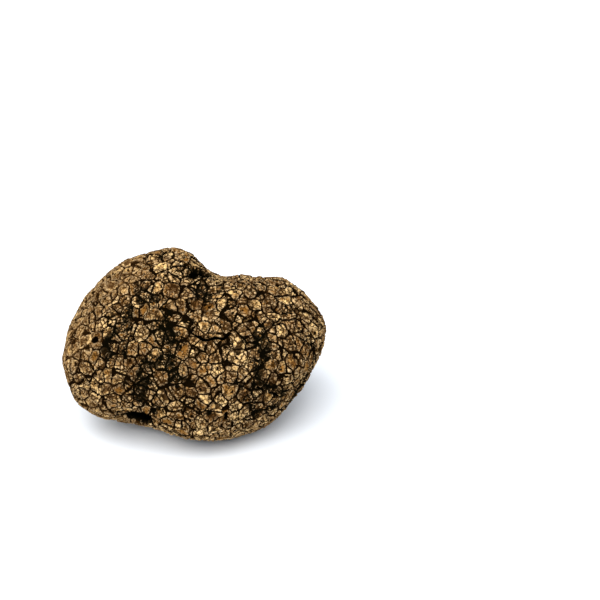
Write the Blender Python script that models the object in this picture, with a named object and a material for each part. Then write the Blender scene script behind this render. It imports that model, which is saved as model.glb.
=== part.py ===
"""Black truffle: one solid, a kidney-shaped tuber with two lobes that rests on a small flat foot.

The tuber starts as an ico sphere, stretched to an ellipsoid. Swellings, hollows and furrows then
move its surface along the ellipsoid's normals, the way clay is pushed. The whole is turned to
the attitude it rests in, and its underside is pressed flat where it meets the ground.

Units are metres, +Z is up and +X runs along the tuber. The origin is in the plane of the foot,
under the middle of the tuber's box.
"""

import math

import bmesh
import bpy
from mathutils import Matrix, Vector, noise

MM = 0.001

# Driving dimensions of the finished tuber.
LENGTH = 65.0 * MM
DEPTH = 51.0 * MM
HEIGHT = 43.5 * MM

# The ellipsoid that the tuber is pushed out of: half its length, depth and height. Its long axis
# is turned towards the back and raised at its +X end.
CORE_RADII = Vector((31.5, 24.0, 21.0)) * MM
CORE_TURN = math.radians(9)
CORE_RISE = math.radians(4)
CORE_ATTITUDE = Matrix.Rotation(CORE_TURN, 3, "Z") @ Matrix.Rotation(-CORE_RISE, 3, "Y")
SPHERE_SUBDIVISIONS = 5

# How much of the underside is pressed flat.
FOOT_DEPTH = 1.2 * MM

# Long, low unevenness of the whole tuber.
UNEVEN_HEIGHT = 0.9 * MM
UNEVEN_SIZE = 12.0 * MM
UNEVEN_OFFSET = Vector((4.7, 1.3, 8.2))

# Swellings and hollows. Each has its place on the core as a bearing from +X towards +Y and a
# height angle, in degrees, its reach over the surface, and how far its middle moves out, or in
# when negative.
SWELLINGS = {
    "upper_left_shoulder": (106, 64, 27 * MM, 4.9 * MM),
    "upper_left_edge": (146, 50, 15 * MM, 1.1 * MM),
    "left_brow": (158, 26, 18 * MM, 2.2 * MM),
    "left_end": (180, -8, 18 * MM, -2.0 * MM),
    "under_left_end": (-132, -55, 20 * MM, -3.0 * MM),
    "lower_left_edge": (-153, -42, 12 * MM, 0.8 * MM),
    "front_belly": (-76, -32, 24 * MM, 2.4 * MM),
    "lower_right_cheek": (-30, -34, 20 * MM, 0.8 * MM),
    "under_right_end": (-8, -16, 15 * MM, -1.8 * MM),
    "lower_right_edge": (-18, -32, 12 * MM, 1.0 * MM),
    "right_knob": (8, 22, 16 * MM, 1.2 * MM),
    "right_cheek": (-42, 4, 12 * MM, 0.8 * MM),
    "upper_right_cheek": (24, 42, 13 * MM, 1.6 * MM),
    "top_saddle": (40, 56, 14 * MM, -5.0 * MM),
    "behind_saddle": (62, 44, 14 * MM, -2.2 * MM),
    "brow_hollow": (-133, 49, 10 * MM, -0.9 * MM),
    "left_hollow": (-137, 14, 9 * MM, -0.8 * MM),
    "middle_hollow": (-101, 30, 10 * MM, -0.8 * MM),
    "right_cheek_hollow": (-46, 15, 9 * MM, -1.0 * MM),
    "pit_by_the_foot": (-122, -28, 6 * MM, -2.4 * MM),
    "back_swelling": (96, 8, 26 * MM, 1.5 * MM),
    "back_right_knob": (50, -2, 17 * MM, 2.2 * MM),
    "back_left_knob": (142, -6, 16 * MM, 2.2 * MM),
    "back_pit": (98, -4, 8 * MM, -2.2 * MM),
}

# Furrows: the bearings and height angles of the stops that each one runs through, its half
# width and its depth.
FURROWS = {
    "notch": (((42, 58), (20, 74), (-55, 74), (-84, 62)), 7.5 * MM, 1.7 * MM),
    "front_cleft": (((-84, 62), (-98, 34), (-104, 10), (-114, -8), (-121, -26)), 9 * MM, 1.2 * MM),
    "back_cleft": (((42, 58), (76, 40), (88, 14), (104, -14), (112, -40)), 8 * MM, 2.2 * MM),
}

SKIN_COLOUR = (0.105, 0.062, 0.030, 1.0)
SKIN_ROUGHNESS = 0.72
SKIN_METALLIC = 0.0


def clear_scene():
    """Removes every object that the scene starts with."""
    for obj in list(bpy.data.objects):
        bpy.data.objects.remove(obj, do_unlink=True)


def direction(bearing, height_angle):
    """The unit vector at a bearing and a height angle, both in degrees."""
    b = math.radians(bearing)
    h = math.radians(height_angle)
    return Vector((math.cos(h) * math.cos(b), math.cos(h) * math.sin(b), math.sin(h)))


def core_point(way):
    """The place where a line from the core's middle along this way leaves the core."""
    in_core = CORE_ATTITUDE.transposed() @ way
    return way / Vector(a / b for a, b in zip(in_core, CORE_RADII)).length


def falloff(distance, reach):
    """1 in the middle of a push, and 0 with no kink where its reach ends."""
    share = min(distance / reach, 1.0)
    return (1.0 - share * share) ** 2


def distance_to_route(place, route):
    """The distance from a place on the core to a furrow that runs from stop to stop over it."""
    nearest = math.inf
    for start, end in zip(route, route[1:]):
        along = end - start
        share = min(max((place - start).dot(along) / along.length_squared, 0.0), 1.0)
        on_route = core_point((start + along * share).normalized())
        nearest = min(nearest, (place - on_route).length)
    return nearest


def push_at(place):
    """How far the surface moves out at a place on the core."""
    push = UNEVEN_HEIGHT * noise.noise(place / UNEVEN_SIZE + UNEVEN_OFFSET)
    for bearing, height_angle, reach, rise in SWELLINGS.values():
        middle = core_point(direction(bearing, height_angle))
        push += rise * falloff((place - middle).length, reach)
    for stops, half_width, depth in FURROWS.values():
        route = [core_point(direction(*stop)) for stop in stops]
        push -= depth * falloff(distance_to_route(place, route), half_width)
    return push


def push_surface(bm):
    """Stretches a unit sphere to the core, and moves its points along the core's normals."""
    for vert in bm.verts:
        way = vert.co.normalized()
        place = CORE_ATTITUDE @ Vector(a * b for a, b in zip(way, CORE_RADII))
        normal = CORE_ATTITUDE @ Vector(a / b for a, b in zip(way, CORE_RADII))
        vert.co = place + normal.normalized() * push_at(place)


def box_of(bm):
    """The lowest and highest corners of the mesh."""
    low = Vector(min(v.co[i] for v in bm.verts) for i in range(3))
    high = Vector(max(v.co[i] for v in bm.verts) for i in range(3))
    return low, high


def press_foot(bm):
    """Presses the lowest part of the underside up to one level plane."""
    low, _ = box_of(bm)
    level = low.z + FOOT_DEPTH
    for vert in bm.verts:
        vert.co.z = max(vert.co.z, level)


def fit_to_size(bm):
    """Brings the box to the driving dimensions, with the origin under its middle."""
    low, high = box_of(bm)
    middle = (low + high) / 2
    scale = Vector(want / (b - a) for want, a, b in zip((LENGTH, DEPTH, HEIGHT), low, high))
    for vert in bm.verts:
        vert.co.x = (vert.co.x - middle.x) * scale.x
        vert.co.y = (vert.co.y - middle.y) * scale.y
        vert.co.z = (vert.co.z - low.z) * scale.z


def skin_material():
    """The dark brown skin as one plain colour."""
    material = bpy.data.materials.new("truffle_skin")
    material.use_nodes = True
    shader = material.node_tree.nodes["Principled BSDF"]
    shader.inputs["Base Color"].default_value = SKIN_COLOUR
    shader.inputs["Roughness"].default_value = SKIN_ROUGHNESS
    shader.inputs["Metallic"].default_value = SKIN_METALLIC
    return material


def make_truffle(collection):
    """The whole tuber as one closed mesh."""
    bpy.ops.mesh.primitive_ico_sphere_add(subdivisions=SPHERE_SUBDIVISIONS, radius=1.0)
    truffle = bpy.context.active_object
    truffle.name = "truffle"
    truffle.data.name = "truffle"
    bm = bmesh.new()
    bm.from_mesh(truffle.data)
    push_surface(bm)
    press_foot(bm)
    fit_to_size(bm)
    bm.to_mesh(truffle.data)
    bm.free()
    truffle.data.shade_smooth()
    truffle.data.materials.append(skin_material())
    for other in list(truffle.users_collection):
        other.objects.unlink(truffle)
    collection.objects.link(truffle)
    return truffle


def main():
    clear_scene()
    parts = bpy.data.collections.new("black_truffle")
    bpy.context.scene.collection.children.link(parts)
    make_truffle(parts)


main()
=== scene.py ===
"""Black truffle: the looks of one whole tuber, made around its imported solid.

The rind is one piece. It starts as a copy of the solid, is subdivided, takes its relief of plates,
cracks, bare hollows, fissures and worm holes, and is thinned again so that its points gather along
the cracks. The pattern of the plates is one set of nodes, built once for the geometry and once for
the shading, so that colour and relief always agree.

Plates are cells of three sizes: plates, patches inside them, and chips inside those. Lengths in
the pattern are in mm.
"""

import math
from collections import namedtuple

import bpy
import numpy as np
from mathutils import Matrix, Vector


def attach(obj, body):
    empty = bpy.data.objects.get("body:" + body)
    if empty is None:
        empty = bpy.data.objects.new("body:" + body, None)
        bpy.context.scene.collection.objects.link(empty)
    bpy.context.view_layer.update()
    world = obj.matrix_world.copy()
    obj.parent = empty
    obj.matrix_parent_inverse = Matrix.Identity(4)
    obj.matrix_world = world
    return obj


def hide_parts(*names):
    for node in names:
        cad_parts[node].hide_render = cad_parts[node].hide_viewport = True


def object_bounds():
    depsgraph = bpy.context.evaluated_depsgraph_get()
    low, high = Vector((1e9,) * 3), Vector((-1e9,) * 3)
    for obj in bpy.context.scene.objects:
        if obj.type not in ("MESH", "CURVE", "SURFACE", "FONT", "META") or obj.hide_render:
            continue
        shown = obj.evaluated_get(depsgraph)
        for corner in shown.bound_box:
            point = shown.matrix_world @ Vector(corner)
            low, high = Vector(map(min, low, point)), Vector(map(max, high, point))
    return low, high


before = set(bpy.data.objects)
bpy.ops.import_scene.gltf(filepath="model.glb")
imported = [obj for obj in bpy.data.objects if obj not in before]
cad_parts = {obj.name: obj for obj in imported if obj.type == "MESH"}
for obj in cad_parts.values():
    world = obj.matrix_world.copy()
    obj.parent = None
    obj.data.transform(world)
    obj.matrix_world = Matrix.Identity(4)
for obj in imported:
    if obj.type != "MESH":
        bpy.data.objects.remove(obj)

bl_info = {
    "name": "Black Truffle",
    "version": (1, 0, 0),
    "blender": (4, 5, 0),
    "location": "View3D > Sidebar > Truffle",
    "description": "Models the warty rind of a whole black truffle, and a plain stage for it",
    "category": "Object",
}

MM = 0.001
NODE = "truffle"
CAD_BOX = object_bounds()
MIDDLE = (CAD_BOX[0] + CAD_BOX[1]) / 2

# Mesh attributes that carry the rind's pattern: each point's place before the relief moved it, how
# bare of plates and how soft it is there, how pale it is with painted light and shade included, and
# how deep it lies in a fissure or a hole.
REST = "rest_place"
MEASURED = {"Bare": "bare", "Soft": "soft", "Tone": "tone", "Gash": "gash", "Hole": "hole"}

# The flat charts that an export can bake the rind's looks into, and how much of its share of the
# map each chart fills.
BAKE_MAP = "OFBake"
CHART_FILL = 0.96

# What makes the edges of the cells uneven: the sizes of three drifts, and how far they move them.
# Chips are more jagged than plates and patches.
WIDE_SIZE, WIDE_DRIFT = 5.0, 1.8
TIGHT_SIZE, TIGHT_DRIFT = 0.7, 0.34
JAGGED_SIZE, JAGGED_DRIFT, CHIP_DRIFT = 0.3, 0.15, 0.32

# Patches and chips as shares of a plate, and the shifts that set the three sizes of cells apart.
PATCH_SHARE = 0.46
CHIP_SHARE = 0.22
PATCH_SHIFT = 5.3
CHIP_SHIFT = 11.9

# How wide the cracks between patches and between chips are, as shares of those between plates,
# and how deep.
PATCH_CRACK_WIDTH = 0.74
CHIP_CRACK_WIDTH = 0.70
PATCH_CRACK_DEPTH = 0.7
CHIP_CRACK_DEPTH = 0.4

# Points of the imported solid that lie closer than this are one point.
SEAM_WIDTH = 0.01 * MM

# Heights and depths of the relief in mm, and the slopes of tilted plates and patches.
PLATE_STEP = 0.20
PATCH_STEP = 0.12
PLATE_TILT = 0.12
PATCH_TILT = 0.11
PLATE_ROUNDING = 0.035
PATCH_ROUNDING = 0.03
SWELL_HEIGHT = 0.7
HOLLOW_DEPTH = 0.35
PIT_DEPTH = 1.0
FISSURE_DEPTH = 0.9
WORM_HOLE_DEPTH = 1.5

# The roughness of the faint sheen on clean plates.
SHEEN_ROUGHNESS = 0.45

# The floor's corners and roughness, and the size in metres of its faint blotches and how bright
# they are beside the rest.
FLOOR_CORNERS = 96
FLOOR_ROUGHNESS = 0.9
BLOTCH_SIZE = 0.05
BLOTCH_BRIGHTNESS = 0.99

# How bright the studio's walls and its ceiling are.
WALL_STRENGTH = 0.95
CEILING_STRENGTH = 0.90

# The camera's sensor in mm, and the nearest and farthest things that it sees in metres.
SENSOR_WIDTH = 36.0
NEAREST_SEEN = 0.01
FARTHEST_SEEN = 50.0

# Places on the tuber are a bearing from +X towards +Y and a height angle, in degrees, seen from
# the middle of its box.

# Hollows and fissures fade to nothing at this many times their reach or half width.
FADE_OUT = 1.7

# Hollows where most plates are missing: the stops that each one runs through, its reach to both
# sides in mm, and its strength. Above 1 the strength also sinks a pit, which the colours darken as
# painted shade.
BARE_HOLLOWS = (
    (((-92, 81), (-60, 84), (-15, 80)), 1.8, 1.35),
    (((-74, 72), (-70, 62)), 2.2, 0.95),
    (((-89, 42),), 1.5, 0.70),
    (((-157, 51), (-146, 46), (-136, 49)), 2.3, 0.90),
    (((-148, 36), (-142, 31), (-133, 23)), 1.9, 0.80),
    (((-141, 24), (-142, 14), (-136, 10)), 2.0, 0.88),
    (((-133, 18), (-127, 13)), 1.8, 0.75),
    (((-116, 34), (-101, 24)), 3.1, 0.82),
    (((-116, 9), (-104, 13), (-97, 3)), 2.6, 0.85),
    (((-114, 2), (-117, -8)), 2.6, 0.88),
    (((-108, -14),), 1.6, 0.85),
    (((-131, -31), (-119, -25)), 2.4, 2.2),
    (((-130, -36), (-123, -33)), 1.7, 2.0),
    (((-135, -27),), 1.3, 1.5),
    (((-110, -17),), 1.2, 1.2),
    (((-41, 20), (-44, 10)), 2.6, 0.95),
    (((-44, 10), (-51, 6), (-50, 1), (-53, -4), (-46, -7), (-36, -14)), 1.6, 0.90),
    (((-38, -20), (-53, -22), (-59, -11)), 1.4, 0.85),
    (((-62, -2), (-54, -11)), 2.2, 0.60),
    (((-65, 0),), 1.5, 0.80),
    (((-89, 5),), 2.2, 0.50),
    (((-80, -16),), 1.1, 0.90),
    (((-43, 60),), 1.8, 0.65),
    (((-17, 43),), 2.6, 0.70),
    (((-38, 24),), 1.6, 0.80),
    (((-29, 22),), 1.2, 0.70),
    (((-13, 24),), 2.4, 0.70),
    (((-19, 9), (-13, 1)), 2.2, 0.65),
    # This hollow along the lower right rim is partly painted shade, for the side turned from the
    # light.
    (((-12, -4), (-16, -16), (-24, -26)), 2.2, 0.85),
)

# How soft the middle of a soft side is, before that is cut off at 1.
SOFT_STRENGTH = 1.5

# Sides with a softer, browner and more finely cracked skin: bearing, height angle, reach in mm.
SOFT_SIDES = (
    (-165, 6, 13.0),
    (172, 38, 14.0),
    (-146, -22, 8.0),
    (60, 5, 12.0),
)

# Paler places, and darker ones when negative: bearing, height angle, reach in mm, and how much.
# The paler top is painted light, and the darker lower right is painted shade.
TONES_AND_PAINTED_LIGHT = (
    # Painted light: the top is paler, where the light falls on it.
    (170, 68, 13.0, 0.18),
    (-19, 28, 13.0, 0.13),
    (-82, -24, 12.0, 0.13),
    (-139, 14, 5.5, -0.25),
    (-116, 28, 6.0, -0.15),
    (-100, 6, 7.0, -0.28),
    (-116, -4, 6.0, -0.25),
    (-40, -14, 8.0, -0.08),
    # Painted shade: the lower right, turned from the light, is darker.
    (-14, -20, 9.0, -0.20),
    (-48, -18, 9.0, -0.06),
    (-152, -5, 9.0, -0.14),
    (-177, 17, 13.0, -0.13),
    (-122, 61, 2.6, 0.35),
)

# Fissures: the stops they run through, half width and depth in mm.
FISSURES = (
    (((-89, 34), (-79, 26), (-67, 25), (-57, 28)), 0.56, 1.0),
    (((-124, 10), (-113, 13), (-100, 13)), 0.28, 0.8),
    (((-57, -2), (-52, -7), (-42, -13), (-33, -15)), 0.38, 1.0),
    (((-167, 72), (-159, 75), (-156, 79), (-149, 84), (-135, 88), (51, 86)), 0.42, 1.0),
    (((-41, 31), (-45, 22)), 0.20, 0.8),
    (((-93, 50), (-88, 40), (-86, 33)), 0.20, 0.8),
)

# How narrow their ends are: the square of a share of the width.
END_WIDTH = 0.06

# How far the fissures waver to each side, and how fast: two sine waves' heights and the lengths
# in which their angle grows by one radian, all in mm.
FINE_WAVER = (0.22, 0.55)
WIDE_WAVER = (0.40, 1.5)

# Worm holes and slits: bearing, height angle, length of the slit and radius in mm, and how much
# wider than high.
WORM_HOLES = (
    (-149, 14, 0.0, 1.12, 1.45),
    (-10, 8, 0.0, 0.62, 1.3),
    (-70, -19, 1.6, 0.46, 1.0),
)

# How many radii the measure of a hole takes to fall from 1 in its middle to 0.
HOLE_FADE = 3.0


def colour_setting(name, description, default):
    """A setting that is a colour."""
    return bpy.props.FloatVectorProperty(
        name=name, description=description, default=default, min=0.0, max=1.0, subtype="COLOR"
    )


def length_setting(name, description, default, least):
    """A setting that is a length."""
    return bpy.props.FloatProperty(
        name=name, description=description, default=default, min=least, subtype="DISTANCE",
        unit="LENGTH",
    )


class TruffleRindSettings(bpy.types.PropertyGroup):
    """Sizes and colours of the rind."""

    plate_size: length_setting(
        "Plate Size", "Width of a large plate of the rind", 3.0 * MM, 0.5 * MM
    )
    crack_width: length_setting(
        "Crack Width", "Half the width of the cracks between large plates", 0.16 * MM, 0.0
    )
    crack_depth: length_setting(
        "Crack Depth", "Depth of the cracks between large plates", 0.38 * MM, 0.0
    )
    subdivisions: bpy.props.IntProperty(
        name="Subdivisions", description="How often the solid's faces are halved for the relief",
        default=3, min=1, max=5,
    )
    faces: bpy.props.IntProperty(
        name="Triangles", description="Triangles that are left when the relief is thinned",
        default=190000, min=1000,
    )
    plate_colour: colour_setting("Plate", "Colour of the palest plates", (0.745, 0.482, 0.194))
    # Partly painted highlight: the pale edge bands stand in for small bright highlights along the
    # plates' edges.
    edge_colour: colour_setting(
        "Worn Edge And Highlight", "Colour of the plates' worn, pale edges", (0.65, 0.462, 0.245)
    )
    skin_colour: colour_setting(
        "Soft Skin", "Colour of the sides with a softer skin", (0.168, 0.070, 0.0138)
    )
    ochre_colour: colour_setting(
        "Ochre Plate", "Colour of the warmer, darker plates", (0.222, 0.094, 0.0140)
    )
    brown_colour: colour_setting(
        "Stain", "Colour of the stains and of the plates' rims", (0.066, 0.0255, 0.0060)
    )
    rust_colour: colour_setting("Rust", "Colour of the few rusty flecks", (0.33, 0.150, 0.030))
    soot_colour: colour_setting(
        "Soot", "Colour of the paler grains on the blackened plates", (0.036, 0.024, 0.010)
    )
    black_colour: colour_setting(
        "Blackened Plate", "Colour of the plates that are stained black", (0.0080, 0.0055, 0.0020)
    )
    groove_colour: colour_setting(
        "Groove", "Colour of the fine, shallow cracks", (0.021, 0.0088, 0.0020)
    )
    # Partly painted shade: the cracks' own dark brown is darkened further for the shade at their
    # bottoms.
    crack_colour: colour_setting(
        "Crack", "Colour at the bottom of the cracks", (0.0042, 0.0022, 0.0006)
    )
    bare_colour: colour_setting(
        "Bare Rind", "Colour of the black ground where plates are missing", (0.0024, 0.0020, 0.0008)
    )


class TruffleStageSettings(bpy.types.PropertyGroup):
    """Floor, light and camera."""

    floor_size: length_setting("Floor Size", "Radius of the floor", 6.0, 0.5)
    floor_colour: colour_setting("Floor", "Colour of the floor", (0.815, 0.852, 0.902))
    camera_distance: length_setting(
        "Camera Distance", "Distance from the camera to the truffle's middle", 0.32, 0.05
    )
    camera_height: bpy.props.FloatProperty(
        name="Camera Height Angle", description="How far above the horizon the camera stands",
        default=math.radians(25), subtype="ANGLE", unit="ROTATION",
    )
    lens: bpy.props.FloatProperty(
        name="Lens", description="Focal length of the camera in mm, for a sensor 36 mm wide",
        default=76.8, min=10.0,
    )
    aim_across: bpy.props.FloatProperty(
        name="Aim Across", description="How far right of the truffle's middle the camera aims",
        default=25.9 * MM, subtype="DISTANCE", unit="LENGTH",
    )
    aim_up: bpy.props.FloatProperty(
        name="Aim Up", description="How far above the truffle's middle the camera aims",
        default=9.7 * MM, subtype="DISTANCE", unit="LENGTH",
    )
    key_place: bpy.props.FloatVectorProperty(
        name="Key Light", description="Where the large soft light stands",
        default=(-0.45, -1.3, 2.0), subtype="XYZ", unit="LENGTH",
    )
    key_size: length_setting("Key Size", "Side of the large soft light", 2.2, 0.1)
    key_power: bpy.props.FloatProperty(
        name="Key Power", description="Power of the large soft light",
        default=86.0, min=0.0, unit="POWER",
    )
    key_colour: colour_setting("Key Colour", "Colour of the large soft light", (1.0, 0.985, 0.96))
    wall_colour: colour_setting(
        "Walls", "Colour of the studio's walls and ceiling", (0.955, 0.975, 1.0)
    )


class NodeBoard:
    """Adds nodes to one tree and links them. A value is a number, a colour or another's socket."""

    def __init__(self, tree):
        self.tree = tree

    def feed(self, socket, value):
        """Links a socket into this one, or sets it to a plain value."""
        if isinstance(value, bpy.types.NodeSocket):
            self.tree.links.new(value, socket)
        else:
            socket.default_value = value

    def add(self, kind, inputs=None, **settings):
        """One node, with its settings and its inputs by name or index."""
        made = self.tree.nodes.new(kind)
        for name, value in settings.items():
            setattr(made, name, value)
        for name, value in (inputs or {}).items():
            self.feed(made.inputs[name], value)
        return made

    def math(self, operation, *values):
        """A Math node's result."""
        return self.add("ShaderNodeMath", dict(enumerate(values)), operation=operation).outputs[0]

    def fold(self, operation, values):
        """A Math node's result for two values, then for that and the next, and so on."""
        result = values[0]
        for value in values[1:]:
            result = self.math(operation, result, value)
        return result

    def plus(self, *values):
        """The sum of some numbers."""
        return self.fold("ADD", values)

    def minus(self, value, less):
        """A number less another."""
        return self.math("SUBTRACT", value, less)

    def times(self, *values):
        """The product of some numbers."""
        return self.fold("MULTIPLY", values)

    def most(self, *values):
        """The largest of some numbers."""
        return self.fold("MAXIMUM", values)

    def least(self, *values):
        """The smallest of some numbers."""
        return self.fold("MINIMUM", values)

    def slope(self, value, rise, start):
        """A number times a rise, plus a start."""
        return self.math("MULTIPLY_ADD", value, rise, start)

    def vector(self, operation, *values):
        """A Vector Math node's result."""
        made = self.add("ShaderNodeVectorMath", dict(enumerate(values)), operation=operation)
        return made.outputs[0]

    def scaled(self, value, factor):
        """A vector times a number."""
        made = self.add("ShaderNodeVectorMath", {0: value, "Scale": factor}, operation="SCALE")
        return made.outputs[0]

    def ramp(self, value, low, high, start=0.0, end=1.0, shape="SMOOTHSTEP"):
        """A value eased from start, at low, to end, at high."""
        inputs = {"Value": value, "From Min": low, "From Max": high, "To Min": start, "To Max": end}
        return self.add("ShaderNodeMapRange", inputs, interpolation_type=shape).outputs[0]

    def noise(self, place, size, detail=2.0, roughness=0.5):
        """A Noise Texture whose features are about this large, in the place's unit."""
        inputs = {"Vector": place, "Scale": 1.0 / size, "Detail": detail, "Roughness": roughness}
        return self.add("ShaderNodeTexNoise", inputs)

    def blend(self, factor, first, second, how="MIX"):
        """Two colours mixed by a factor."""
        inputs = {0: factor, 6: first, 7: second}
        return self.add("ShaderNodeMix", inputs, data_type="RGBA", blend_type=how).outputs[2]

    def amount(self, factor, first, second):
        """Two numbers mixed by a factor."""
        inputs = {0: factor, 2: first, 3: second}
        return self.add("ShaderNodeMix", inputs, data_type="FLOAT").outputs[0]


class RindBoard(NodeBoard):
    """A board for a group that is given places on the rind before the relief moved them."""

    def __init__(self, tree, given):
        super().__init__(tree)
        self.given = given
        self.place = self.scaled(given["Place"], 1.0 / MM)

    def grey(self, size, detail, roughness=0.5, shift=None):
        """A noise's single value, moved by a shift that sets it apart from the other noises."""
        place = self.vector("ADD", self.place, shift) if shift else self.place
        return self.noise(place, size, detail, roughness).outputs[0]

    def drift(self, size, detail):
        """A vector that points any way, and changes over about this size."""
        colour = self.noise(self.place, size, detail).outputs["Color"]
        return self.vector("SUBTRACT", colour, (0.5, 0.5, 0.5))


Cells = namedtuple("Cells", "edge random tilt")


class RindPattern(RindBoard):
    """Builds the pattern of plates and cracks. Each step keeps what the later steps need."""

    NUMBERS = (
        "Crack", "Fine Crack", "Missing", "Bare", "Blackened", "Plate Shade", "Patch Shade", "Rim",
        "Worn Edge And Highlight", "Relief",
    )

    def __init__(self, tree, given, settings):
        super().__init__(tree, given)
        self.half_width = settings.crack_width / MM
        self.depth = settings.crack_depth / MM
        self.vary = self.grey(1.8, 2.0, shift=(5.0, 1.0, 2.0))
        self.open_worm_holes()
        self.bare_the_ground()
        self.lay_cells(settings.plate_size / MM)
        self.part_plates()
        self.part_patches()
        self.part_chips()
        self.lose_pieces()
        self.cut_fissures()

    def open_worm_holes(self):
        """Worm holes are round, in a whole piece of rind."""
        hole = self.given["Hole"]
        self.hole = self.ramp(hole, 0.62, 0.68)
        self.shaft = self.ramp(hole, 0.66, 0.78)
        self.whole = self.ramp(hole, 0.10, 0.35, 1.0, 0.0)

    def bare_the_ground(self):
        """The ground is as bare as the mesh says, with ragged edges, and here and there besides."""
        scattered = self.ramp(self.grey(5.0, 3.0, 0.6, (17.0, 3.0, 9.0)), 0.56, 0.74, 0.0, 0.75)
        ragged = self.slope(self.grey(1.5, 3.0, 0.7, (1.0, 3.0, 7.0)), 3.0, -1.5)
        placed = self.plus(self.given["Bare"], ragged)
        placed = self.times(self.ramp(placed, 0.10, 0.90), self.given["Bare"])
        self.bare = self.times(self.most(scattered, placed), self.whole)

    def lay_cells(self, plate_size):
        """The places are moved a little, so that the edges of the cells are uneven."""
        wide = self.scaled(self.drift(WIDE_SIZE, 2.0), WIDE_DRIFT)
        tight = self.scaled(self.drift(TIGHT_SIZE, 2.0), TIGHT_DRIFT)
        jagged = self.drift(JAGGED_SIZE, 1.0)
        uneven = self.vector("ADD", self.vector("ADD", self.place, wide), tight)
        splintered = self.vector("ADD", uneven, self.scaled(jagged, CHIP_DRIFT))
        uneven = self.vector("ADD", uneven, self.scaled(jagged, JAGGED_DRIFT))
        self.plates = self.cells(uneven, plate_size, 0.0)
        self.patches = self.cells(uneven, plate_size * PATCH_SHARE, PATCH_SHIFT)
        self.chips = self.cells(splintered, plate_size * CHIP_SHARE, CHIP_SHIFT)

    def cells(self, place, size, shift):
        """The distance to the cells' edges, three random numbers of each cell, and its tilt."""
        moved = self.vector("ADD", place, (shift, shift * 0.7, -shift * 0.4))
        inputs = {"Vector": moved, "Scale": 1.0 / size}
        edge = self.add("ShaderNodeTexVoronoi", inputs, feature="DISTANCE_TO_EDGE")
        cell = self.add("ShaderNodeTexVoronoi", inputs, feature="F1")
        split = self.add("ShaderNodeSeparateXYZ", {0: cell.outputs["Color"]})
        middle = self.vector("SUBTRACT", moved, cell.outputs["Position"])
        lean = self.vector("SUBTRACT", cell.outputs["Color"], (0.5, 0.5, 0.5))
        tilt = self.add("ShaderNodeVectorMath", {0: middle, 1: lean}, operation="DOT_PRODUCT")
        distance = self.times(edge.outputs["Distance"], size)
        return Cells(distance, split.outputs, tilt.outputs["Value"])

    def crack(self, edge, width):
        """1 in a crack of this half width and 0 outside it, from the distance to the edge."""
        share = self.math("DIVIDE", edge, self.most(width, 0.001))
        return self.ramp(share, 0.5, 1.3, 1.0, 0.0)

    def part_plates(self):
        """The cracks between plates are wide and deep here, and a hair line there."""
        # Cracks are narrower where the tone is paler and wider where it is darker, painted light
        # and shade included.
        slim = self.slope(self.given["Soft"], -0.30, self.minus(1.0, self.given["Tone"]))
        self.opening = self.times(self.slope(self.bare, 0.40, slim), self.whole)
        width = self.ramp(self.vary, 0.35, 0.70, 0.55, 1.75)
        width = self.times(width, self.half_width, self.opening)
        self.plate_crack = self.crack(self.plates.edge, width)

    def part_patches(self):
        """Some plates are broken through. The others are notched, or cracked in the middle."""
        edge, random = self.plates.edge, self.plates.random
        self.firm = self.slope(self.given["Soft"], -0.40, 1.0)
        broken = self.times(self.ramp(random["X"], 0.46, 0.54), self.firm)
        self.broken = self.most(broken, self.ramp(self.bare, 0.1, 0.4))
        notched = self.ramp(edge, 0.15, 0.85, 1.0, 0.0, "LINEAR")
        centred = self.times(self.ramp(edge, 0.40, 0.75), self.ramp(random["Y"], 0.50, 0.58))
        notched = self.times(self.most(notched, centred), self.firm)
        self.parted = self.most(self.broken, notched)
        width = self.ramp(self.vary, 0.30, 0.70, 1.2, 0.6)
        width = self.times(width, self.half_width * PATCH_CRACK_WIDTH, self.opening, self.parted)
        self.patch_crack = self.crack(self.patches.edge, width)

    def part_chips(self):
        """Short nicks run in from the other cracks, and a few patches are crazed all over."""
        near = self.least(self.plates.edge, self.plus(self.patches.edge, 0.15))
        near = self.ramp(near, 0.10, 0.60, 1.0, 0.0, "LINEAR")
        crazed = self.ramp(self.patches.random["Y"], 0.78, 0.82)
        star = self.ramp(self.plates.random["Y"], 0.40, 0.60)
        star = self.times(self.ramp(self.plates.edge, 0.70, 1.05), star)
        some = self.ramp(self.chips.random["X"], 0.25, 0.75)
        reach = self.times(self.most(near, crazed, star), self.firm, some)
        reach = self.most(reach, self.times(self.ramp(self.bare, 0.35, 0.65), 0.75))
        width = self.times(reach, self.half_width * CHIP_CRACK_WIDTH)
        nicks = self.crack(self.chips.edge, width)
        self.chip_crack = self.most(nicks, self.curls())

    def curls(self):
        """Thin winding lines on a few of the chips."""
        winding = self.minus(self.grey(0.9, 2.0, 0.6, (4.0, 9.0, 6.0)), 0.5)
        line = self.ramp(self.math("ABSOLUTE", winding), 0.012, 0.038, 1.0, 0.0)
        few = self.ramp(self.chips.random["Y"], 0.62, 0.70)
        return self.times(line, few, self.firm, self.ramp(self.chips.edge, 0.0, 0.08))

    def lose_pieces(self):
        """Patches are missing in the bare hollows, and single chips everywhere."""
        patch = self.minus(self.slope(self.bare, 0.45, -0.30), self.patches.random["X"])
        chip = self.minus(self.slope(self.bare, 0.20, 0.040), self.chips.random["Z"])
        chip = self.times(self.ramp(chip, -0.01, 0.01), self.ramp(self.chips.edge, 0.0, 0.06))
        self.missing = self.times(self.most(self.ramp(patch, -0.01, 0.01), chip), self.whole)

    def cut_fissures(self):
        """The fissures that the mesh marks, wider here and narrower there."""
        wavy = self.slope(self.minus(self.vary, 0.5), 0.5, self.given["Gash"])
        self.gash = self.ramp(wavy, 0.35, 0.62)

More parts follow.
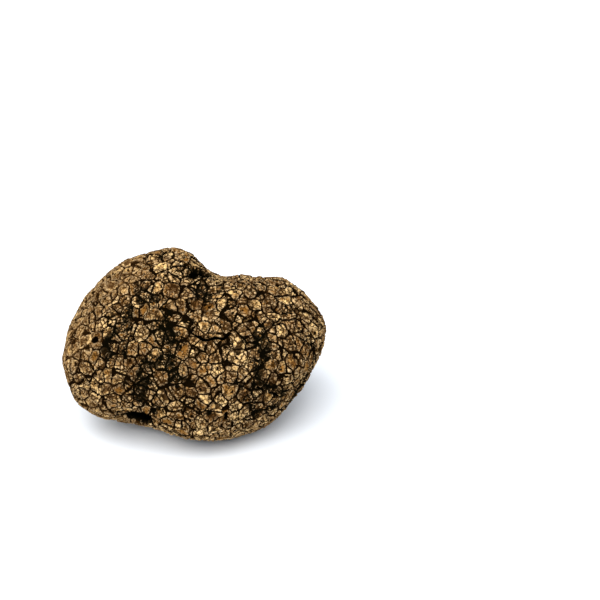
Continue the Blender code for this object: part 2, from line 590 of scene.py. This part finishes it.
    def blackened(self):
        """Chips that are stained black, more of them the barer the ground is."""
        chance = self.times(self.chips.random["Y"], 0.85)
        chance = self.slope(self.patches.random["Y"], 0.45, chance)
        grit = self.slope(self.grey(0.5, 2.0, 0.6, (6.0, 2.0, 8.0)), 1.6, -0.8)
        chance = self.slope(self.bare, 0.66, self.minus(grit, chance))
        return self.times(self.ramp(chance, -0.05, 0.09), self.ramp(self.bare, 0.05, 0.30))

    def plate_tops(self):
        """Plates and patches stand at their own heights and tilts, and round off at their edges."""
        plate = self.times(self.ramp(self.plates.edge, 0.0, 0.5, 1.0, 0.0), -PLATE_ROUNDING)
        patch = self.times(self.parted, -PATCH_ROUNDING)
        patch = self.times(self.ramp(self.patches.edge, 0.0, 0.3, 1.0, 0.0), patch)
        plate_step = self.slope(self.plates.random["Y"], PLATE_STEP, -PLATE_STEP / 2)
        patch_step = self.slope(self.patches.random["Z"], PATCH_STEP, -PATCH_STEP / 2)
        steps = self.plus(plate_step, self.times(patch_step, self.broken))
        tilt = self.times(self.patches.tilt, PATCH_TILT, self.broken)
        tilt = self.slope(self.plates.tilt, PLATE_TILT, tilt)
        return self.plus(self.plus(plate, patch), steps, tilt)

    def relief(self):
        """How far the surface moves out, in metres."""
        plate = self.times(self.plate_crack, -self.depth)
        patch = self.times(self.patch_crack, -self.depth * PATCH_CRACK_DEPTH)
        chip = self.times(self.chip_crack, -self.depth * CHIP_CRACK_DEPTH)
        lost = self.times(self.missing, -self.depth)
        lowest = self.least(self.least(plate, patch), self.least(chip, lost))
        swell = self.grey(6.5, 2.0, shift=(2.0, 8.0, 4.0))
        swell = self.slope(swell, 2 * SWELL_HEIGHT, -SWELL_HEIGHT)
        pit = self.ramp(self.bare, 1.0, 1.35, 0.0, -PIT_DEPTH)
        sunk = self.slope(self.bare, -HOLLOW_DEPTH, pit)
        fissure = self.times(self.gash, -FISSURE_DEPTH)
        worm_hole = self.times(self.shaft, -WORM_HOLE_DEPTH)
        sunk = self.plus(sunk, fissure, worm_hole)
        height = self.plus(self.plus(self.plate_tops(), lowest), self.plus(swell, sunk))
        return self.times(height, MM)

    def rims(self):
        """The edges of plates and patches, and the middles of a few plates."""
        plate = self.ramp(self.plates.edge, 0.08, 0.38, 1.0, 0.0)
        patch = self.times(self.ramp(self.patches.edge, 0.04, 0.26, 1.0, 0.0), self.parted)
        few = self.ramp(self.plates.random["Y"], 0.62, 0.70)
        return self.most(plate, patch, self.times(self.ramp(self.plates.edge, 0.45, 0.80), few))

    def worn_edges_and_highlights(self):
        """The paler bands inside the rims of plates and patches, worn and partly painted highlight.
        """
        edge = self.plates.edge
        plate = self.times(self.ramp(edge, 0.15, 0.28), self.ramp(edge, 0.36, 0.65, 1.0, 0.0))
        edge = self.patches.edge
        patch = self.times(self.ramp(edge, 0.10, 0.20), self.ramp(edge, 0.25, 0.42, 1.0, 0.0))
        return self.most(plate, self.times(patch, self.parted))

    def found(self):
        """What the pattern gives, in the order of NUMBERS."""
        cut = self.most(self.gash, self.hole)
        return (
            self.most(self.plate_crack, cut),
            self.most(self.patch_crack, self.chip_crack),
            self.missing,
            # Fissures and worm holes count as barer than bare, so the colours paint shade into
            # them.
            self.most(self.bare, self.times(cut, 1.25)),
            self.blackened(),
            self.plates.random["Z"],
            self.patches.random["Z"],
            self.rims(),
            self.worn_edges_and_highlights(),
            self.relief(),
        )


class RindColours(RindBoard):
    """Builds the rind's colour, roughness, sheen and fine height from its pattern."""

    NUMBERS = ("Soft", "Tone") + RindPattern.NUMBERS[:-1]
    GIVES = (
        ("Color", "NodeSocketColor"),
        ("Roughness", "NodeSocketFloat"),
        ("Sheen", "NodeSocketFloat"),
        ("Height", "NodeSocketFloat"),
    )

    def __init__(self, tree, given, settings):
        super().__init__(tree, given)
        self.settings = settings
        self.mottle = self.grey(1.1, 4.0, 0.65)
        self.blotch = self.grey(5.0, 3.0, 0.6, (31.0, 7.0, 3.0))
        self.speck = self.grey(0.28, 2.0, 0.6)
        self.grain = self.grey(0.75, 3.0, 0.65, (8.0, 5.0, 2.0))
        self.wide = self.most(given["Crack"], given["Missing"])
        self.gap = self.most(self.wide, given["Fine Crack"])

    def colour(self, name):
        """One of the settings' colours."""
        return (*getattr(self.settings, name + "_colour"), 1.0)

    def clean_plates(self):
        """Tan or ochre plates with worn edges that are partly painted highlight, and a browner skin
        on the soft sides.
        """
        given = self.given
        warm = self.plus(self.times(given["Plate Shade"], 0.5), self.mottle)
        warm = self.plus(warm, self.times(given["Patch Shade"], 0.3))
        warm = self.plus(warm, self.times(given["Bare"], 0.3))
        plate = self.blend(self.ramp(warm, 0.55, 1.00), self.colour("plate"), self.colour("ochre"))
        gold = self.ramp(self.grain, 0.40, 0.58)
        gold = self.blend(gold, self.colour("plate"), self.colour("skin"))
        plate = self.blend(self.times(given["Soft"], 0.75), plate, gold)
        # Worn edges and painted highlight: pale bands along the plates' edges.
        worn = self.times(given["Worn Edge And Highlight"], self.ramp(self.mottle, 0.42, 0.58, 0.25, 0.95))
        return self.blend(worn, plate, self.colour("edge"))

    def stained(self, plate):
        """The plates with brown stains and rims, a few rusty flecks, and brown specks."""
        soft = self.given["Soft"]
        stain = self.times(self.ramp(self.blotch, 0.46, 0.60), self.ramp(self.mottle, 0.46, 0.56))
        stain = self.most(stain, self.ramp(self.mottle, 0.57, 0.66, 0.0, 0.85))
        stain = self.most(stain, self.times(soft, self.ramp(self.mottle, 0.45, 0.66)))
        dirty = self.most(self.ramp(self.blotch, 0.40, 0.62), soft)
        rim = self.times(self.given["Rim"], self.slope(dirty, 0.62, 0.26))
        brown = self.times(self.most(self.times(stain, 0.75), rim), 0.95)
        plate = self.blend(brown, plate, self.colour("brown"))
        rusty = self.ramp(self.grey(2.0, 2.0, shift=(9.0, 13.0, 1.0)), 0.58, 0.70)
        rusty = self.times(rusty, self.given["Patch Shade"])
        rusty = self.times(rusty, self.ramp(self.grain, 0.42, 0.62, 0.7, 0.0))
        plate = self.blend(rusty, plate, self.colour("rust"))
        return self.blend(self.ramp(self.speck, 0.57, 0.68, 0.0, 0.38), plate, self.colour("brown"))

    def blackened(self, plate):
        """The plates with those that are stained black, through brown at their edges."""
        stain = self.given["Blackened"]
        plate = self.blend(self.ramp(stain, 0.0, 0.60, 0.0, 0.85), plate, self.colour("brown"))
        black = self.ramp(self.speck, 0.39, 0.56)
        black = self.blend(black, self.colour("black"), self.colour("soot"))
        return self.blend(self.ramp(stain, 0.30, 0.9, 0.0, 0.95), plate, black)

    def shaded(self, plate):
        """The plates with each one's own brightness, and painted light on the top and painted shade
        on the lower right.
        """
        given = self.given
        # The tone paints light on the top and shade on the lower right into the plates' colour.
        shade = self.slope(given["Bare"], -0.12, self.plus(given["Tone"], 1.0))
        shade = self.times(shade, self.ramp(given["Plate Shade"], 0.0, 1.0, 1.04, 0.87, "LINEAR"))
        shade = self.times(shade, self.ramp(given["Patch Shade"], 0.0, 1.0, 1.05, 0.83, "LINEAR"))
        return self.blend(1.0, plate, shade, "MULTIPLY")

    def cracked(self, plate):
        """The plates with their cracks, blackest in the hollows, with painted shade deepening pits,
        fissures and holes.
        """
        given = self.given
        hollow = self.ramp(given["Bare"], 0.1, 0.6)
        # The crack colour holds painted shade for the bottoms of the cracks, over their own dark
        # brown.
        deep = self.blend(hollow, self.colour("crack"), self.colour("bare"))
        deep = self.blend(self.times(given["Soft"], 0.7), deep, self.colour("groove"))
        groove = self.blend(hollow, self.colour("groove"), self.colour("bare"))
        groove = self.blend(self.times(given["Soft"], 0.6), groove, self.colour("brown"))
        fine = self.ramp(given["Fine Crack"], 0.05, 0.65, 0.0, 0.92)
        plate = self.blend(fine, plate, groove)
        plate = self.blend(self.ramp(self.wide, 0.05, 0.65), plate, deep)
        # Painted shade: pits, fissures and worm holes, where Bare passes 1, are darkened to a
        # third.
        return self.blend(1.0, plate, self.ramp(given["Bare"], 1.0, 1.25, 1.0, 0.3), "MULTIPLY")

    def fine_height(self):
        """A fine grain on the plates, and the cracks cut into it, for the shader's bump."""
        height = self.times(self.grey(0.22, 3.0, 0.6), 0.06)
        height = self.minus(height, self.times(self.given["Fine Crack"], 0.10))
        return self.minus(height, self.times(self.given["Crack"], 0.12))

    def found(self):
        """What the colours give, in the order of GIVES."""
        plate = self.shaded(self.blackened(self.stained(self.clean_plates())))
        plate_roughness = self.ramp(self.mottle, 0.3, 0.7, 0.50, 0.68)
        return (
            self.cracked(plate),
            self.amount(self.gap, plate_roughness, 0.95),
            self.ramp(self.most(self.gap, self.given["Rim"]), 0.0, 0.6, 0.08, 0.0),
            self.fine_height(),
        )


def group_sockets(tree, inputs, outputs):
    """Gives a node group its inputs and outputs, and returns their nodes."""
    for name, kind in inputs:
        tree.interface.new_socket(name, in_out="INPUT", socket_type=kind)
    for name, kind in outputs:
        tree.interface.new_socket(name, in_out="OUTPUT", socket_type=kind)
    return tree.nodes.new("NodeGroupInput"), tree.nodes.new("NodeGroupOutput")


def rind_group(name, kind, takes, gives, builder, settings):
    """A node group that takes the place and some numbers, and gives what the builder finds."""
    tree = bpy.data.node_groups.new(name, kind)
    inputs = [("Place", "NodeSocketVector")] + [(number, "NodeSocketFloat") for number in takes]
    entry, exit_ = group_sockets(tree, inputs, gives)
    found = builder(tree, entry.outputs, settings).found()
    for (socket, _), value in zip(gives, found):
        tree.links.new(value, exit_.inputs[socket])
    return tree


def rind_pattern(kind, settings):
    """The pattern of plates and cracks as a node group, for shading or for geometry."""
    name = "Rind Pattern " + ("Shading" if kind == "ShaderNodeTree" else "Relief")
    gives = [(number, "NodeSocketFloat") for number in RindPattern.NUMBERS]
    return rind_group(name, kind, MEASURED, gives, RindPattern, settings)


def rind_colours(settings):
    """A node group that turns the pattern into the rind's colour, roughness and fine height."""
    takes, gives = RindColours.NUMBERS, RindColours.GIVES
    return rind_group("Rind Colours", "ShaderNodeTree", takes, gives, RindColours, settings)


def feed_pattern(board, pattern, group_kind, attribute_kind):
    """A node of the pattern's group, fed with the mesh attributes it needs."""
    rind = board.add(group_kind, node_tree=pattern)
    for socket, attribute in MEASURED.items():
        board.feed(rind.inputs[socket], attribute_kind(board, attribute, "FLOAT"))
    board.feed(rind.inputs["Place"], attribute_kind(board, REST, "FLOAT_VECTOR"))
    return rind


def named_attribute(board, name, kind):
    """The socket of a mesh attribute in geometry nodes."""
    made = board.add("GeometryNodeInputNamedAttribute", {"Name": name}, data_type=kind)
    return made.outputs["Attribute"]


def shader_attribute(board, name, kind):
    """The socket of a mesh attribute in a material."""
    made = board.add("ShaderNodeAttribute", attribute_name=name)
    return made.outputs["Fac" if kind == "FLOAT" else "Vector"]


def relief_modifier_tree(pattern):
    """Geometry nodes that move each point along its normal by the rind's relief."""
    tree = bpy.data.node_groups.new("Rind Relief", "GeometryNodeTree")
    geometry = [("Geometry", "NodeSocketGeometry")]
    entry, exit_ = group_sockets(tree, geometry, geometry)
    board = NodeBoard(tree)
    rind = feed_pattern(board, pattern, "GeometryNodeGroup", named_attribute)
    normal = board.add("GeometryNodeInputNormal").outputs["Normal"]
    moved = board.add("GeometryNodeSetPosition", {"Geometry": entry.outputs[0]})
    board.feed(moved.inputs["Offset"], board.scaled(normal, rind.outputs["Relief"]))
    tree.links.new(moved.outputs[0], exit_.inputs[0])
    return tree


def rind_material(settings):
    """Tan plates with brown rims, dark cracks and black ground, matte with a faint sheen."""
    material = bpy.data.materials.new("truffle_rind")
    material.use_nodes = True
    board = NodeBoard(material.node_tree)
    shader = material.node_tree.nodes["Principled BSDF"]
    pattern = rind_pattern("ShaderNodeTree", settings)
    rind = feed_pattern(board, pattern, "ShaderNodeGroup", shader_attribute)
    colours = board.add("ShaderNodeGroup", node_tree=rind_colours(settings))
    board.feed(colours.inputs["Place"], shader_attribute(board, REST, "FLOAT_VECTOR"))
    for name in ("Soft", "Tone"):
        board.feed(colours.inputs[name], shader_attribute(board, MEASURED[name], "FLOAT"))
    for name in RindPattern.NUMBERS[:-1]:
        board.feed(colours.inputs[name], rind.outputs[name])
    bump = board.add("ShaderNodeBump", {"Strength": 1.0, "Distance": MM})
    board.feed(bump.inputs["Height"], colours.outputs["Height"])
    board.feed(shader.inputs["Base Color"], colours.outputs["Color"])
    board.feed(shader.inputs["Roughness"], colours.outputs["Roughness"])
    board.feed(shader.inputs["Normal"], bump.outputs["Normal"])
    board.feed(shader.inputs["Coat Weight"], colours.outputs["Sheen"])
    shader.inputs["Coat Roughness"].default_value = SHEEN_ROUGHNESS
    shader.inputs["Specular IOR Level"].default_value = 0.0
    return material


def only(piece):
    """Makes one piece the only selected and the active one."""
    bpy.ops.object.select_all(action="DESELECT")
    piece.select_set(True)
    bpy.context.view_layer.objects.active = piece


def apply_modifier(piece, name, kind, **settings):
    """Adds a modifier with these settings and applies it."""
    only(piece)
    modifier = piece.modifiers.new(name, kind)
    for key, value in settings.items():
        setattr(modifier, key, value)
    bpy.ops.object.modifier_apply(modifier=modifier.name)


def way(bearing, height_angle):
    """The unit vector at a bearing and a height angle, both in degrees."""
    b = math.radians(bearing)
    h = math.radians(height_angle)
    return Vector((math.cos(h) * math.cos(b), math.cos(h) * math.sin(b), math.sin(h)))


def points_of(mesh):
    """The mesh's points as rows of x, y and z."""
    points = np.empty(len(mesh.vertices) * 3, np.float32)
    mesh.vertices.foreach_get("co", points)
    return points.reshape(-1, 3)


def store(mesh, name, values):
    """Stores one number, or one vector, of each point as a mesh attribute."""
    vector = values.ndim == 2
    attribute = mesh.attributes.new(name, "FLOAT_VECTOR" if vector else "FLOAT", "POINT")
    attribute.data.foreach_set("vector" if vector else "value", values.astype(np.float32).ravel())


def eased(share):
    """1 at 0, falling with no kink to 0 at 1 and beyond."""
    return np.clip(1.0 - share * share, 0.0, 1.0) ** 2


def surface_place(points, bearing, height_angle):
    """The mesh point that lies this way from the middle of the tuber's box."""
    offset = points - np.array(MIDDLE)
    along = offset @ np.array(way(bearing, height_angle))
    return points[np.argmax(along / np.linalg.norm(offset, axis=1))]


def reach_of(points, stops):
    """Each point's distance to a route over the surface, and how far along the route that is."""
    route = [surface_place(points, *stop) for stop in stops]
    nearest = np.linalg.norm(points - route[0], axis=1)
    travelled = np.zeros(len(points))
    for index, (start, end) in enumerate(zip(route, route[1:])):
        along = end - start
        share = np.clip((points - start) @ along / (along @ along), 0.0, 1.0)
        gap = np.linalg.norm(points - (start + share[:, None] * along), axis=1)
        closer = gap <= nearest
        nearest = np.where(closer, gap, nearest)
        travelled = np.where(closer, (index + share) / (len(route) - 1), travelled)
    return nearest, travelled


def bareness(points):
    """How bare of plates each point is, in the hollows that have lost theirs."""
    bare = np.zeros(len(points))
    for stops, reach, strength in BARE_HOLLOWS:
        nearest, _ = reach_of(points, stops)
        bare = np.maximum(bare, strength * eased(nearest / (FADE_OUT * reach * MM)))
    return bare


def softness(points):
    """How soft and brown the skin is at each point."""
    soft = np.zeros(len(points))
    for bearing, height_angle, reach in SOFT_SIDES:
        nearest, _ = reach_of(points, ((bearing, height_angle),))
        strength = SOFT_STRENGTH * eased(nearest / (reach * MM))
        soft = np.maximum(soft, np.clip(strength, 0.0, 1.0))
    return soft


def tones_and_painted_light(points):
    """How much paler, or darker when negative, the plates are at each point, painted light and
    shade included.
    """
    tone = np.zeros(len(points))
    for bearing, height_angle, reach, amount in TONES_AND_PAINTED_LIGHT:
        nearest, _ = reach_of(points, ((bearing, height_angle),))
        tone += amount * eased(nearest / (reach * MM))
    return tone


def gashes(points):
    """How deep each point lies in a fissure, which wavers a little."""
    gash = np.zeros(len(points))
    for (height, length), axes in ((FINE_WAVER, (1, 2, 0)), (WIDE_WAVER, (2, 0, 1))):
        points = points + height * MM * np.sin(points[:, axes] / (length * MM))
    for stops, half_width, depth in FISSURES:
        nearest, travelled = reach_of(points, stops)
        taper = np.sqrt(np.clip(4.0 * travelled * (1.0 - travelled), END_WIDTH, 1.0))
        gash = np.maximum(gash, depth * eased(nearest / (FADE_OUT * half_width * MM * taper)))
    return gash


def holes(points):
    """How near each point is to the middle of a worm hole or a slit, whose rim is at two thirds."""
    hole = np.zeros(len(points))
    for bearing, height_angle, length, radius, widening in WORM_HOLES:
        centre = surface_place(points, bearing, height_angle)
        offset = points - centre
        offset[:, 2] -= np.clip(offset[:, 2], -length / 2 * MM, length / 2 * MM)
        offset[:, 2] *= widening
        share = np.linalg.norm(offset, axis=1) / (radius * MM)
        hole = np.maximum(hole, np.clip(1.0 - share / HOLE_FADE, 0.0, 1.0))
    return hole


def lay_out_bake_map(mesh):
    """Gives the mesh six flat charts, one for each side of the tuber, from its places at rest."""
    rest = np.empty(len(mesh.vertices) * 3, np.float32)
    mesh.attributes[REST].data.foreach_get("vector", rest)
    rest = (rest.reshape(-1, 3) - np.array(MIDDLE)) / np.array((CAD_BOX[1] - CAD_BOX[0]) / 2)
    corners = np.empty(len(mesh.loops), np.int32)
    mesh.loops.foreach_get("vertex_index", corners)
    starts = np.empty(len(mesh.polygons), np.int32)
    mesh.polygons.foreach_get("loop_start", starts)
    counts = np.empty(len(mesh.polygons), np.int32)
    mesh.polygons.foreach_get("loop_total", counts)
    place = rest[corners]
    middle = np.add.reduceat(place, starts) / counts[:, None]
    axis = np.abs(middle).argmax(axis=1)
    side = middle[np.arange(len(axis)), axis] > 0
    axis = np.repeat(axis, counts)
    side = np.repeat(side, counts)
    rows = np.arange(len(place))
    outward = place[rows, axis] * np.where(side, 1.0, -1.0)
    first = place[rows, np.where(axis == 0, 1, 0)] / outward
    second = place[rows, np.where(axis == 2, 1, 2)] / outward
    first = np.arctan(first) / (math.pi / 2) * np.where(side, 1.0, -1.0) * CHART_FILL + 0.5
    second = np.arctan(second) / (math.pi / 2) * CHART_FILL + 0.5
    flat = np.stack([(axis + first) / 3, (side + second) / 2], axis=1)
    chart = mesh.uv_layers.new(name=BAKE_MAP)
    chart.data.foreach_set("uv", flat.astype(np.float32).ravel())


def copied_solid():
    """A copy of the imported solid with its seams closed."""
    solid = bpy.data.objects[NODE]
    rind = solid.copy()
    rind.data = solid.data.copy()
    rind.name = rind.data.name = "truffle_rind"
    rind.animation_data_clear()
    bpy.context.scene.collection.objects.link(rind)
    only(rind)
    bpy.ops.object.mode_set(mode="EDIT")
    bpy.ops.mesh.select_all(action="SELECT")
    bpy.ops.mesh.remove_doubles(threshold=SEAM_WIDTH)
    bpy.ops.mesh.normals_make_consistent(inside=False)
    bpy.ops.object.mode_set(mode="OBJECT")
    return rind


def measure_surface(mesh):
    """Stores each point's place and what the pattern needs to know of it."""
    points = points_of(mesh)
    store(mesh, REST, points)
    for name, measure in zip(MEASURED.values(), (bareness, softness, tones_and_painted_light, gashes, holes)):
        store(mesh, name, measure(points))


def lift_to_floor(mesh):
    """Brings points that the relief pushed below the floor back up to it."""
    points = points_of(mesh)
    points[:, 2] = np.maximum(points[:, 2], 0.0)
    mesh.vertices.foreach_set("co", points.ravel())


def thin_out(piece, most):
    """Leaves no more than this many triangles."""
    triangles = sum(len(face.vertices) - 2 for face in piece.data.polygons)
    apply_modifier(piece, "Thin", "DECIMATE", ratio=min(1.0, most / triangles))


class TRUFFLE_OT_make_rind(bpy.types.Operator):
    """Model the truffle's rind: its plates, cracks, bare hollows, fissures and worm holes"""

    bl_idname = "truffle.make_rind"
    bl_label = "Make Rind"
    bl_options = {"REGISTER", "UNDO"}

    def execute(self, context):
        settings = context.scene.truffle_rind
        rind = copied_solid()
        levels = settings.subdivisions
        apply_modifier(rind, "Subdivide", "SUBSURF", levels=levels, render_levels=levels)
        measure_surface(rind.data)
        tree = relief_modifier_tree(rind_pattern("GeometryNodeTree", settings))
        apply_modifier(rind, "Relief", "NODES", node_group=tree)
        lift_to_floor(rind.data)
        thin_out(rind, settings.faces)
        lay_out_bake_map(rind.data)
        rind.data.materials.clear()
        rind.data.materials.append(rind_material(settings))
        rind.data.shade_smooth()
        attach(rind, "root")
        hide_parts(NODE)
        return {"FINISHED"}


def add_key_light(settings):
    """A large square light that faces the truffle."""
    light = bpy.data.lights.new("key", "AREA")
    light.size = settings.key_size
    light.energy = settings.key_power
    light.color = settings.key_colour
    lamp = bpy.data.objects.new("key", light)
    lamp.location = settings.key_place
    lamp.rotation_euler = (MIDDLE - lamp.location).to_track_quat("-Z", "Y").to_euler()
    bpy.context.scene.collection.objects.link(lamp)


def add_camera(settings):
    """The scene's camera, which looks down at the front of the truffle."""
    back = way(-90, math.degrees(settings.camera_height))
    across = Vector((1.0, 0.0, 0.0))
    up = back.cross(across)
    aim = MIDDLE + across * settings.aim_across + up * settings.aim_up
    camera = bpy.data.cameras.new("camera")
    camera.sensor_width = SENSOR_WIDTH
    camera.lens = settings.lens
    camera.clip_start = NEAREST_SEEN
    camera.clip_end = FARTHEST_SEEN
    eye = bpy.data.objects.new("camera", camera)
    eye.location = aim + back * settings.camera_distance
    eye.rotation_euler = (-back).to_track_quat("-Z", "Y").to_euler()
    bpy.context.scene.collection.objects.link(eye)
    bpy.context.scene.camera = eye


def floor_material(settings):
    """Smooth pale board with the faintest unevenness."""
    material = bpy.data.materials.new("pale_floor")
    material.use_nodes = True
    board = NodeBoard(material.node_tree)
    shader = material.node_tree.nodes["Principled BSDF"]
    coordinates = board.add("ShaderNodeTexCoord").outputs["Object"]
    blotches = board.noise(coordinates, BLOTCH_SIZE, 3.0).outputs[0]
    pale = (*settings.floor_colour, 1.0)
    dull = tuple(channel * BLOTCH_BRIGHTNESS for channel in pale[:3]) + (1.0,)
    board.feed(shader.inputs["Base Color"], board.blend(blotches, pale, dull))
    shader.inputs["Roughness"].default_value = FLOOR_ROUGHNESS
    return material


def studio_world(settings):
    """A pale studio: white walls all round, and a slightly dimmer ceiling."""
    world = bpy.data.worlds.new("studio")
    world.use_nodes = True
    board = NodeBoard(world.node_tree)
    sky = world.node_tree.nodes["Background"]
    direction = board.add("ShaderNodeTexCoord").outputs["Object"]
    height = board.add("ShaderNodeSeparateXYZ", {0: direction}).outputs["Z"]
    strength = board.ramp(height, 0.12, 0.35, WALL_STRENGTH, CEILING_STRENGTH)
    board.feed(sky.inputs["Strength"], strength)
    sky.inputs["Color"].default_value = (*settings.wall_colour, 1.0)
    return world


class TRUFFLE_OT_make_stage(bpy.types.Operator):
    """Make the pale floor, the soft light and the camera"""

    bl_idname = "truffle.make_stage"
    bl_label = "Make Stage"
    bl_options = {"REGISTER", "UNDO"}

    def execute(self, context):
        settings = context.scene.truffle_stage
        bpy.ops.object.select_all(action="DESELECT")
        bpy.ops.mesh.primitive_circle_add(
            vertices=FLOOR_CORNERS, radius=settings.floor_size, fill_type="NGON", location=(0, 0, 0)
        )
        floor = context.active_object
        floor.name = "floor"
        floor.data.materials.append(floor_material(settings))

        context.scene.world = studio_world(settings)
        add_key_light(settings)
        add_camera(settings)
        context.scene.view_settings.view_transform = "Standard"
        return {"FINISHED"}


class TRUFFLE_PT_sidebar(bpy.types.Panel):
    """Lists the truffle's settings and what makes its pieces"""

    bl_label = "Black Truffle"
    bl_idname = "TRUFFLE_PT_sidebar"
    bl_space_type = "VIEW_3D"
    bl_region_type = "UI"
    bl_category = "Truffle"

    def draw(self, context):
        for settings in (context.scene.truffle_rind, context.scene.truffle_stage):
            box = self.layout.box()
            for name in settings.__annotations__:
                box.prop(settings, name)
        self.layout.operator(TRUFFLE_OT_make_rind.bl_idname)
        self.layout.operator(TRUFFLE_OT_make_stage.bl_idname)


CLASSES = (
    TruffleRindSettings,
    TruffleStageSettings,
    TRUFFLE_OT_make_rind,
    TRUFFLE_OT_make_stage,
    TRUFFLE_PT_sidebar,
)


def register():
    """Adds the classes and their settings to Blender."""
    for cls in CLASSES:
        bpy.utils.register_class(cls)
    bpy.types.Scene.truffle_rind = bpy.props.PointerProperty(type=TruffleRindSettings)
    bpy.types.Scene.truffle_stage = bpy.props.PointerProperty(type=TruffleStageSettings)


def unregister():
    """Takes them away again."""
    del bpy.types.Scene.truffle_stage
    del bpy.types.Scene.truffle_rind
    for cls in reversed(CLASSES):
        bpy.utils.unregister_class(cls)


def main():
    """Makes every piece and the stage."""
    register()
    bpy.ops.truffle.make_rind()
    bpy.ops.truffle.make_stage()


if __name__ == "__main__":
    main()
